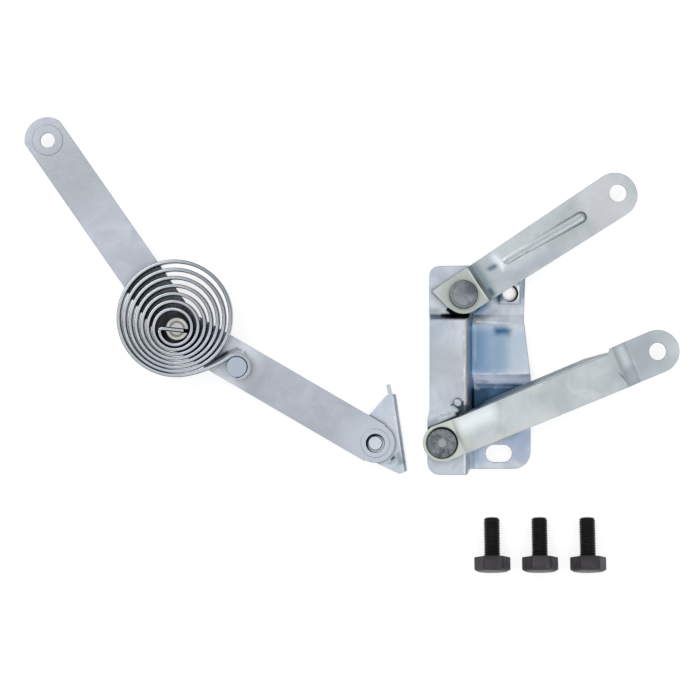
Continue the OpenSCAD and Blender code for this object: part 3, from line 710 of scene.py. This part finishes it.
linkPaintedLight = (
    # lower link: a painted highlight beyond the pivot, a warmer low edge, painted shade at the far end and
    # on the flange
    {"at": (-0.021, -0.0745), "half": (0.013, 0.005), "soft": 0.01, "angle": 22.9,
     "color": (0.72, 0.77, 0.8)},
    {"at": (0.002, -0.082), "half": (0.026, 0.0018), "soft": 0.006, "angle": 22.9, "share": 0.6,
     "color": (0.56, 0.58, 0.54)},
    {"at": (0.075, -0.038), "half": (0.018, 0.015), "soft": 0.02, "angle": 22.9,
     "color": (0.335, 0.375, 0.395)},
    {"at": (0.0665, -0.0372), "half": (0.0028, 0.007), "soft": 0.005, "angle": 26.0, "share": 0.8,
     "color": (0.74, 0.79, 0.8)},
    {"at": (0.0712, -0.047), "half": (0.003, 0.006), "soft": 0.005, "angle": 22.9, "share": 0.5,
     "color": (0.56, 0.62, 0.66)},
    {"at": (-0.0312, -0.0851), "half": (0.0007, 0.0125), "soft": 0.0022, "angle": 22.9, "share": 0.75,
     "color": (0.56, 0.62, 0.59), "matt": 0.8},
    {"at": (0.0664, -0.0507), "half": (0.0044, 0.00005), "soft": 0.0009, "angle": -50.0, "share": 0.9,
     "color": (0.03, 0.04, 0.05)},
    {"at": (-0.0036, -0.0587), "half": (0.045, 0.003), "soft": 0.001, "angle": 22.9, "share": 0.85,
     "color": (0.15, 0.2, 0.23), "floor": (0.004, 0.0156)},
    {"at": (0.049, -0.0365), "half": (0.013, 0.0032), "soft": 0.001, "angle": 22.9, "share": 0.85,
     "color": (0.26, 0.27, 0.3), "floor": (0.004, 0.0158)},
    # upper link: painted reflection and shade, a teal slope with a dent and a painted highlight on a facet,
    # a shaded rib with a painted shadow line under its near end
    {"at": (-0.0164, 0.0083), "half": (0.0022, 0.0115), "soft": 0.006, "angle": 33.3, "share": 0.85,
     "color": (0.17, 0.24, 0.28)},
    {"at": (-0.0118, 0.0004), "half": (0.0012, 0.0026), "soft": 0.003, "angle": 33.3, "share": 0.85,
     "color": (0.05, 0.09, 0.12)},
    {"at": (-0.008, 0.01), "half": (0.0025, 0.011), "soft": 0.005, "angle": 33.3, "share": 0.6,
     "color": (0.4, 0.46, 0.52)},
    {"at": (-0.0194, 0.0048), "half": (0.0004, 0.01), "soft": 0.0014, "angle": 33.3, "share": 0.75,
     "color": (0.72, 0.76, 0.74)},
    {"at": (-0.0176, 0.0058), "half": (0.0008, 0.0112), "soft": 0.0014, "angle": 33.3, "share": 0.9,
     "color": (0.17, 0.215, 0.235), "matt": 0.8},
    {"at": (-0.0078, 0.0192), "half": (0.0048, 0.0012), "soft": 0.0064, "angle": -42.0, "share": 0.8,
     "color": (0.86, 0.95, 1.0)},
    {"at": (-0.0052, 0.015), "half": (0.0004, 0.0022), "soft": 0.0034, "angle": 8.0, "share": 0.7,
     "color": (0.86, 0.92, 0.95)},
    {"at": (-0.0112, 0.015), "half": (0.003, 0.0013), "soft": 0.0034, "angle": 22.0, "share": 0.95,
     "color": (0.075, 0.13, 0.2)},
    {"at": (-0.0095, 0.0114), "half": (0.0036, 0.0008), "soft": 0.0026, "angle": 24.0, "share": 0.45,
     "color": (0.44, 0.42, 0.46)},
    {"at": (0.03, 0.0355), "half": (0.05, 0.006), "soft": 0.002, "angle": 33.3, "share": 0.85,
     "color": (0.37, 0.405, 0.415), "floor": (0.01425, 0.017)},
    {"at": (0.0042, 0.0209), "half": (0.0078, 0.00005), "soft": 0.001, "angle": 32.0, "share": 0.9,
     "color": (0.04, 0.05, 0.06)},
    {"at": (0.035, 0.037), "half": (0.011, 0.003), "soft": 0.006, "angle": 33.3, "share": 0.6,
     "color": (0.38, 0.43, 0.38), "floor": (0.013, 0.01425)},
    {"at": (0.013, 0.016), "half": (0.016, 0.0035), "soft": 0.006, "angle": 33.3, "share": 0.6,
     "color": (0.35, 0.38, 0.44)},
    {"at": (0.056, 0.053), "half": (0.013, 0.015), "soft": 0.012, "angle": 33.3, "share": 0.6,
     "color": (0.56, 0.57, 0.59)},
)
footBlotches = (
    # dark blotches on the plate below the arm's end
    {"at": (-0.0655, -0.1), "half": (0.0035, 0.003), "soft": 0.006, "angle": -30.0, "share": 0.8,
     "color": (0.2, 0.25, 0.27), "ragged": 0.012},
    {"at": (-0.07, -0.0985), "half": (0.0014, 0.0004), "soft": 0.0014, "angle": 40.0,
     "color": (0.02, 0.03, 0.035)},
)
stayPaintedShadow = (
    # painted shadow along the hook's outer side, fading round the anchor pin
    {"at": (-0.1672, -0.0349), "half": (0.0045, 0.0004), "soft": 0.0034, "angle": 22.0, "share": 0.9,
     "color": (0.03, 0.055, 0.075), "floor": armFace},
    {"at": (-0.1745, -0.0388), "half": (0.008, 0.001), "soft": 0.0022, "angle": 29.0, "share": 0.96,
     "color": (0.004, 0.008, 0.018), "floor": armFace},
    {"at": (-0.162, -0.0334), "half": (0.002, 0.0003), "soft": 0.0022, "angle": -20.0, "share": 0.85,
     "color": (0.06, 0.09, 0.11), "floor": armFace},
    {"at": (-0.1576, -0.0361), "half": (0.0018, 0.0004), "soft": 0.0016, "angle": -65.0, "share": 0.7,
     "color": (0.2, 0.24, 0.26), "floor": armFace},
    # painted shade round the knee pin, fading under the outer turns
    {"at": (-0.1995, -0.0198), "half": (0.01, 0.01), "soft": 0.013, "share": 0.98, "matt": 0.95,
     "color": (0.008, 0.009, 0.013), "floor": (0.013, 0.015)},
)

# Tints: centre, inner and outer radius, colour. Crescents, each a painted shadow sliver: centre, reach,
# lean, radius, softness
stayZinc = zincMaterial(
    "stayZinc", zinc["stay"], paintedMarks=stayPaintedShadow,
    tints=(
        # painted light on the lower arm beside the spring
        ((-0.168, -0.0395, 0.0101), 0.006, 0.026, (0.72, 0.76, 0.80)),
        (armEye, 0.008, 0.050, (0.33, 0.35, 0.385)),
        (footPivot, 0.008, 0.030, (0.47, 0.51, 0.57)),
        # painted light on a ring round the foot pivot
        (footPivot, 0.0054, 0.0058, (0.86, 0.91, 0.98)),
        (anchorTop, 0.0066, 0.0078, (0.385, 0.432, 0.495)),
    ),
    shadowCrescents=((footPivot, 0.0057, (0.0006, -0.0006), 0.0049, 0.0003),))
footZinc = zincMaterial("footZinc", zinc["foot"], paintedMarks=footBlotches)
bracketZinc = zincMaterial(
    "bracketZinc", zinc["bracket"], paintedMarks=bracketPaintedLight,
    shadowCrescents=((fixingHole, 0.0052, (-0.0008, -0.0001), 0.0047, 0.0003),))
linkZinc = zincMaterial(
    "linkZinc", zinc["link"], paintedMarks=linkPaintedLight,
    tints=(
        (upperPivot, 0.012, 0.0165, (0.43, 0.465, 0.43)),
        (lowerPivot, 0.009, 0.023, (0.54, 0.585, 0.525)),
    ))
pinZinc = zincMaterial("pinZinc", zinc["pin"])

strip = {
    "dark": (0.42, 0.45, 0.49),
    "light": (0.55, 0.59, 0.64),
    # painted shade on the far turns
    "farTurnShade": ((-0.165, 0.012, 0.0269), 0.012, 0.045, (0.27, 0.30, 0.335)),
    "middle": (0.24, 0.27, 0.31),
    # colour of the dark painted reflection on the rounded corners
    "rim": (0.10, 0.115, 0.135),
    "hook": (anchorPin, 0.0085, 0.0130, (0.40, 0.44, 0.49)),
    # colour of the painted shade in narrow gaps
    "gapShadeColor": (0.003, 0.004, 0.006),
    "rough": (0.26, 0.36),
}
rivet = {
    "dark": (0.13, 0.15, 0.17),
    "light": (0.33, 0.36, 0.38),
    "dullDark": (0.085, 0.095, 0.105),
    "dullLight": (0.25, 0.27, 0.285),
    "edge": (0.22, 0.24, 0.26),
    "upperSpots": (
        ((-0.0235, 0.0030, 0.0155), 0.001, 0.0075, (0.11, 0.125, 0.14)),
        ((-0.0325, -0.0050, 0.0155), 0.001, 0.0075, (0.27, 0.29, 0.30)),
    ),
    "button": (lowerHead, 0.0016, 0.0042, (0.34, 0.36, 0.38)),
    "shade": (lowerHead, 0.0102, (-0.0004, -0.0005), 0.0088, 0.0003),
    "shadeColor": (0.006, 0.007, 0.008),
    # colour of the painted shade in narrow gaps
    "gapShadeColor": (0.003, 0.003, 0.003),
    "rough": (0.42, 0.62),
}
black = {
    "dark": (0.032, 0.028, 0.032),
    "light": (0.066, 0.057, 0.065),
    "edge": (0.095, 0.085, 0.095),
    "shankDark": (0.004, 0.004, 0.005),
    "shankLight": (0.013, 0.012, 0.013),
    "headEnd": (-0.1559, -0.1556),  # along the bolts' common direction
    # colour of the painted shade in narrow gaps
    "gapShadeColor": (0.001, 0.001, 0.001),
    "rough": (0.36, 0.55),
    "metallic": 0.6,
}


def springMaterial():
    # rolled strip: a dark painted reflection at its rounded corners, a faint line along its middle, painted
    # shade on the far turns
    metal = Metal("springSteel")
    mottle = metal.group(mottleGroup, Scale=35.0, Fine=0.08)
    color = metal.mixed(mottle["Cloud"], strip["dark"], strip["light"])
    # painted shade on the far turns
    color = metal.tinted(color, [strip["farTurnShade"]])
    middle = metal.spread(metal.calc("ABSOLUTE", metal.attribute("across")), 0.02, 0.30, 0.45, 0.0)
    color = metal.mixed(middle, color, strip["middle"])
    # dark painted reflection on the rounded corners
    color = metal.mixed(metal.calc("MULTIPLY", metal.attribute("rim"), 0.85), color, strip["rim"])
    # the hook's tone, then painted shade in narrow gaps
    color = metal.gapShaded(metal.tinted(color, [strip["hook"]]), 0.005, 1.0, strip["gapShadeColor"])
    waves = metal.group(wavesGroup, Scale=30.0, Grain_Height=0.002)
    normal = metal.bump(waves["Height"], 0.0001)
    return metal.finish(color, metal.spread(mottle["Grain"], 0.0, 1.0, *strip["rough"]), normal)


def rivetMaterial():
    # struck steel: dark grey blotches, one head duller with a light middle, a lighter worn rim
    metal = Metal("rivetSteel")
    mottle = metal.group(mottleGroup, Scale=150.0, Fine=0.35)
    blotch = metal.group(mottleGroup, Scale=260.0, Fine=0.2)
    wear = metal.group(edgeGroup, Radius=0.0006)
    color = metal.mixed(mottle["Cloud"], rivet["dark"], rivet["light"])
    dull = metal.mixed(blotch["Cloud"], rivet["dullDark"], rivet["dullLight"])
    color = metal.tinted(color, (*rivet["upperSpots"], (lowerHead, 0.0092, 0.011, dull), rivet["button"]))
    color = metal.mixed(wear["Edge"], color, rivet["edge"])
    color = metal.mixed(metal.crescent(*rivet["shade"]), color, rivet["shadeColor"])
    # painted shade in narrow gaps
    color = metal.gapShaded(color, 0.0025, 1.5, rivet["gapShadeColor"])
    waves = metal.group(wavesGroup, Scale=120.0, Grain_Height=0.4)
    normal = metal.bump(waves["Height"], 0.0007, 0.8, wear["Rounded"])
    return metal.finish(color, metal.spread(mottle["Grain"], 0.0, 1.0, *rivet["rough"]), normal)


def washerMaterial():
    # dark oiled steel, barely seen
    metal = Metal("darkWasher")
    mottle = metal.group(mottleGroup, Scale=150.0, Fine=0.5)
    wear = metal.group(edgeGroup, Radius=0.0002)
    color = metal.mixed(mottle["Cloud"], (0.05, 0.05, 0.055), (0.12, 0.12, 0.13))
    return metal.finish(color, 0.5, metal.bump(mottle["Grain"], 0.0001, 0.5, wear["Rounded"]))


def boltMaterial():
    # black phosphate: near black, a little purple, grey on rubbed corners, blacker on the thread
    metal = Metal("blackBolt")
    mottle = metal.group(mottleGroup, Scale=130.0, Fine=0.45)
    wear = metal.group(edgeGroup, Radius=0.0004)
    color = metal.mixed(mottle["Cloud"], black["dark"], black["light"])
    color = metal.mixed(wear["Edge"], color, black["edge"])
    shank = metal.mixed(mottle["Cloud"], black["shankDark"], black["shankLight"])
    dip = math.radians(bolt["tilt"])
    way = (0.0, math.cos(dip), -math.sin(dip))
    along = vectorNode(metal.nodes, metal.links, "DOT_PRODUCT", metal.place, way)
    color = metal.mixed(metal.spread(along, *black["headEnd"]), color, shank)
    # painted shade in narrow gaps
    color = metal.gapShaded(color, 0.002, 2.0, black["gapShadeColor"])
    normal = metal.bump(mottle["Grain"], 0.00012, 0.6, wear["Rounded"])
    rough = metal.spread(mottle["Grain"], 0.0, 1.0, *black["rough"])
    return metal.finish(color, rough, normal, black["metallic"])


springSteel = springMaterial()
rivetSteel = rivetMaterial()
darkWasher = washerMaterial()
blackBolt = boltMaterial()

dress = (
    (bracketZinc, ("body_bracket",)),
    (linkZinc, ("upper_link", "lower_link")),
    (rivetSteel, ("upper_rivet", "lower_rivet")),
    (footZinc, ("stay_foot", "foot_rivet")),
    (stayZinc, ("stay_lower_arm", "stay_long_arm", "spring_anchor_pin")),
    (pinZinc, ("knee_pin",)),
    (darkWasher, ("upper_washer", "lower_washer", "foot_washer", "knee_washer", "knee_tail_washer")),
    (springSteel, ("spiral_spring",)),
    (blackBolt, ("hinge_bolt_1", "hinge_bolt_2", "hinge_bolt_3")),
)
for material, names in dress:
    for name in names:
        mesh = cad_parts[name].data
        mesh.materials.clear()
        mesh.materials.append(material)
print("materials are made")


# Spring: rounded strip along the same curve as the CAD spring's, in half turns

def springPoint(n):
    # eccentric spiral: radius grows by n, centre moves right by n and up by a power of n
    n = np.asarray(n, float)
    angle = math.pi + 2 * math.pi * n
    radius = spring["start"] + spring["pitch"] * n
    x = spring["knee"][0] + spring["side"] * n - spring["left"]
    y = spring["knee"][1] + spring["drift"] * n ** spring["climb"]
    return np.stack([x + radius * np.cos(angle), y + radius * np.sin(angle)], -1)


def unitWay(degrees):
    # unit vector at an angle from x
    return np.array([math.cos(math.radians(degrees)), math.sin(math.radians(degrees))])


def arcPoints(centre, radius, first, last, steps):
    # points of a circle between two angles in degrees
    angle = np.radians(np.linspace(first, last, steps + 1))
    return np.stack([centre[0] + radius * np.cos(angle), centre[1] + radius * np.sin(angle)], -1)


def leadPoints(start, startWay, end, endWay, handle, steps):
    # cubic Bezier between two ends, with handles of one length, without the ends
    second, third = start + handle * startWay, end - handle * endWay
    t = np.linspace(0, 1, steps)[1:-1, None]
    return (1 - t) ** 3 * start + 3 * (1 - t) ** 2 * t * second + 3 * (1 - t) * t * t * third + t ** 3 * end


def stripMesh(name, path):
    # closed strip: a rounded oblong section carried along a flat path, capped at both ends
    path = np.asarray(path)
    first, last = path[1] - path[0], path[-2] - path[-1]
    path = np.concatenate([path[:1], path[:1] + spring["nip"] * first / np.linalg.norm(first), path[1:-1],
                           path[-1:] + spring["nip"] * last / np.linalg.norm(last), path[-1:]])
    along = np.gradient(path, axis=0)
    along /= np.linalg.norm(along, axis=1)[:, None]
    side = np.stack([-along[:, 1], along[:, 0]], 1)
    half, tall, corner = spring["thick"] / 2, spring["width"] / 2, spring["corner"]
    bend = np.linspace(0, math.pi / 2, spring["cornerPoints"])
    turn = math.pi / 2 * np.arange(4)[:, None] + bend[None, :]
    outline = np.stack([
        np.array((1, -1, -1, 1))[:, None] * (half - corner) + corner * np.cos(turn),
        np.array((1, 1, -1, -1))[:, None] * (tall - corner) + corner * np.sin(turn)], -1).reshape(-1, 2)
    rings, around = len(path), len(outline)
    points = np.empty((rings, around, 3))
    points[:, :, :2] = path[:, None, :] + side[:, None, :] * outline[None, :, :1]
    points[:, :, 2] = spring["low"] + tall + outline[None, :, 1]
    index = np.arange(rings * around).reshape(rings, around)
    nextRound = np.roll(index, -1, 1)
    faces = np.stack([index[:-1], index[1:], nextRound[1:], nextRound[:-1]], -1).reshape(-1, 4).tolist()
    faces.append(index[0].tolist())
    faces.append(index[-1][::-1].tolist())
    made = meshObject(name, points.reshape(-1, 3), faces)
    # for the material: place across the strip, and 1 at the middle of each rounded corner, where the colour
    # is darkened as a painted reflection
    for label, values in (("across", outline[:, 0] / half), ("rim", np.tile(np.sin(2 * bend), 4))):
        made.data.attributes.new(label, "FLOAT", "POINT").data.foreach_set("value", np.tile(values, rings))
    made.data.materials.append(springSteel)
    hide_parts("spiral_spring")
    return made


def makeTang():
    # straight through the pin's slot, round a small bend and into the spiral
    slotWay = unitWay(spring["slotAngle"])
    slotMid = np.array(spring["knee"]) - (0, spring["slotBelow"])
    radius = spring["bendRadius"]
    reach = spring["start"] + spring["left"] - radius
    bend = slotMid - reach * slotWay - (0, radius)
    tang = stripMesh("springTang", np.concatenate([
        slotMid + np.outer(np.linspace(spring["tangPast"], -0.95 * reach, 12), slotWay),
        arcPoints(bend, radius, 90 + spring["slotAngle"], spring["bendEnd"], 12),
        springPoint(np.linspace(0.02, 0.045, 3))]))
    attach(tang, "long_arm")


def makeHalfTurns():
    # one strip for each half turn of the wound turns, its transform baked into the mesh
    for k in range(2 * spring["wound"]):
        first, last = k / 2, (k + 1) / 2
        path = springPoint(np.linspace(max(first, 0.04), last, spring["halfTurnPoints"]))
        piece = stripMesh(f"springHalfTurn{k + 1}", path)
        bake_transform(piece)


def makeHook():
    # last part of the spiral, a curve that leaves it, and an arc round the anchor pin
    armWay = unitWay(spring["armAngle"])
    armSide = np.array([armWay[1], -armWay[0]])
    anchor = np.array(spring["knee"]) + spring["anchor"][0] * armWay + spring["anchor"][1] * armSide
    rest = springPoint(np.linspace(spring["wound"], spring["turns"], 28))
    arc = arcPoints(anchor, spring["hookRadius"], spring["hookFrom"], spring["hookTo"], 44)
    lead = leadPoints(rest[-1], unitWay(270 + 360 * spring["turns"]), arc[0],
                      unitWay(spring["hookFrom"] - 90), spring["handle"], 22)
    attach(stripMesh("springHook", np.concatenate([rest, lead, arc])), "lower_arm")


makeTang()
makeHalfTurns()
makeHook()
print("spring is made")


# Bolts: chamfered hex head and a cut thread, as one skin

def headRows(turn):
    # radius and height of each ring, from the outer face over the chamfer to the thread's root
    ring = np.ones(len(turn))
    flat, head, small, rim = bolt["flats"] / 2, bolt["head"], bolt["round"], bolt["rim"]
    hexagon = np.minimum(flat / np.cos(np.mod(turn, math.pi / 3) - math.pi / 6), flat * bolt["corners"])
    face = flat * bolt["face"]
    rows = [(ring * flat * share, ring * 0.0) for share in bolt["faceRings"]]
    rows += [(ring * (face - small), ring * 0.0), (ring * face, ring * bolt["edge"])]
    for part in bolt["chamferRings"]:
        run = (hexagon - face) * part
        rows.append((face + run, run * bolt["slope"] + bolt["edge"]))
    rows.append((hexagon, (hexagon - face) * bolt["slope"] + small))
    rows.append((hexagon, ring * (head - rim)))
    rows.append((hexagon - small, ring * head))
    rows.append((ring * flat * bolt["underside"], ring * head))
    rows.append((ring * (bolt["major"] / 2 + rim), ring * head))
    return rows


def threadRows(turn):
    # radius less a groove that climbs one pitch a turn, fading in under the head and cut off at the tip
    ring = np.ones(len(turn))
    major, pitch, length = bolt["major"] / 2, bolt["pitch"], bolt["length"]
    steep, flatShare = bolt["groove"]
    rows = []
    for down in np.arange(bolt["threadStart"], length, pitch / bolt["rowsPerPitch"]):
        phase = np.mod(down / pitch - turn / (2 * math.pi), 1.0)
        valley = np.clip(np.abs(phase - 0.5) * steep - flatShare, 0, 1)
        fade = min(1.0, down / bolt["runOut"])
        tip = major - max(0.0, down - (length - bolt["point"]))
        rows.append((np.minimum(major - bolt["depth"] * valley * fade, tip), ring * (bolt["head"] + down)))
    rows.append((ring * (major - bolt["tipFace"]), ring * (bolt["head"] + length)))
    return rows


def boltSkin():
    # rings of points joined by quads, closed by a fan at each end
    around = bolt["around"]
    turn = np.linspace(0, 2 * math.pi, around, endpoint=False)
    rows = headRows(turn) + threadRows(turn)
    points = [(0.0, 0.0, 0.0)]
    for radius, height in rows:
        points += np.stack([radius * np.cos(turn), radius * np.sin(turn), height], 1).tolist()
    points.append((0.0, 0.0, bolt["head"] + bolt["length"]))
    nextTo = [(i + 1) % around for i in range(around)]
    faces = [(0, 1 + j, 1 + i) for i, j in enumerate(nextTo)]
    for row in range(len(rows) - 1):
        low = 1 + row * around
        high = low + around
        faces += [(low + i, low + j, high + j, high + i) for i, j in enumerate(nextTo)]
    last = 1 + (len(rows) - 1) * around
    faces += [(last + i, last + j, len(points) - 1) for i, j in enumerate(nextTo)]
    return np.array(points), faces


def makeBolts():
    # the skin's axis is laid along y, head outwards, and dips by the tilt
    points, faces = boltSkin()
    tilt = math.radians(-90 - bolt["tilt"])
    turned = points.copy()
    turned[:, 1] = points[:, 1] * math.cos(tilt) - points[:, 2] * math.sin(tilt)
    turned[:, 2] = points[:, 1] * math.sin(tilt) + points[:, 2] * math.cos(tilt)
    for number, x in enumerate(bolt["places"], 1):
        made = meshObject(f"threadedBolt{number}", turned + (x, bolt["headY"], bolt["lift"]), faces)
        made.data.materials.append(blackBolt)
        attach(made, "base")
        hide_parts(f"hinge_bolt_{number}")


makeBolts()
print("bolts are made")
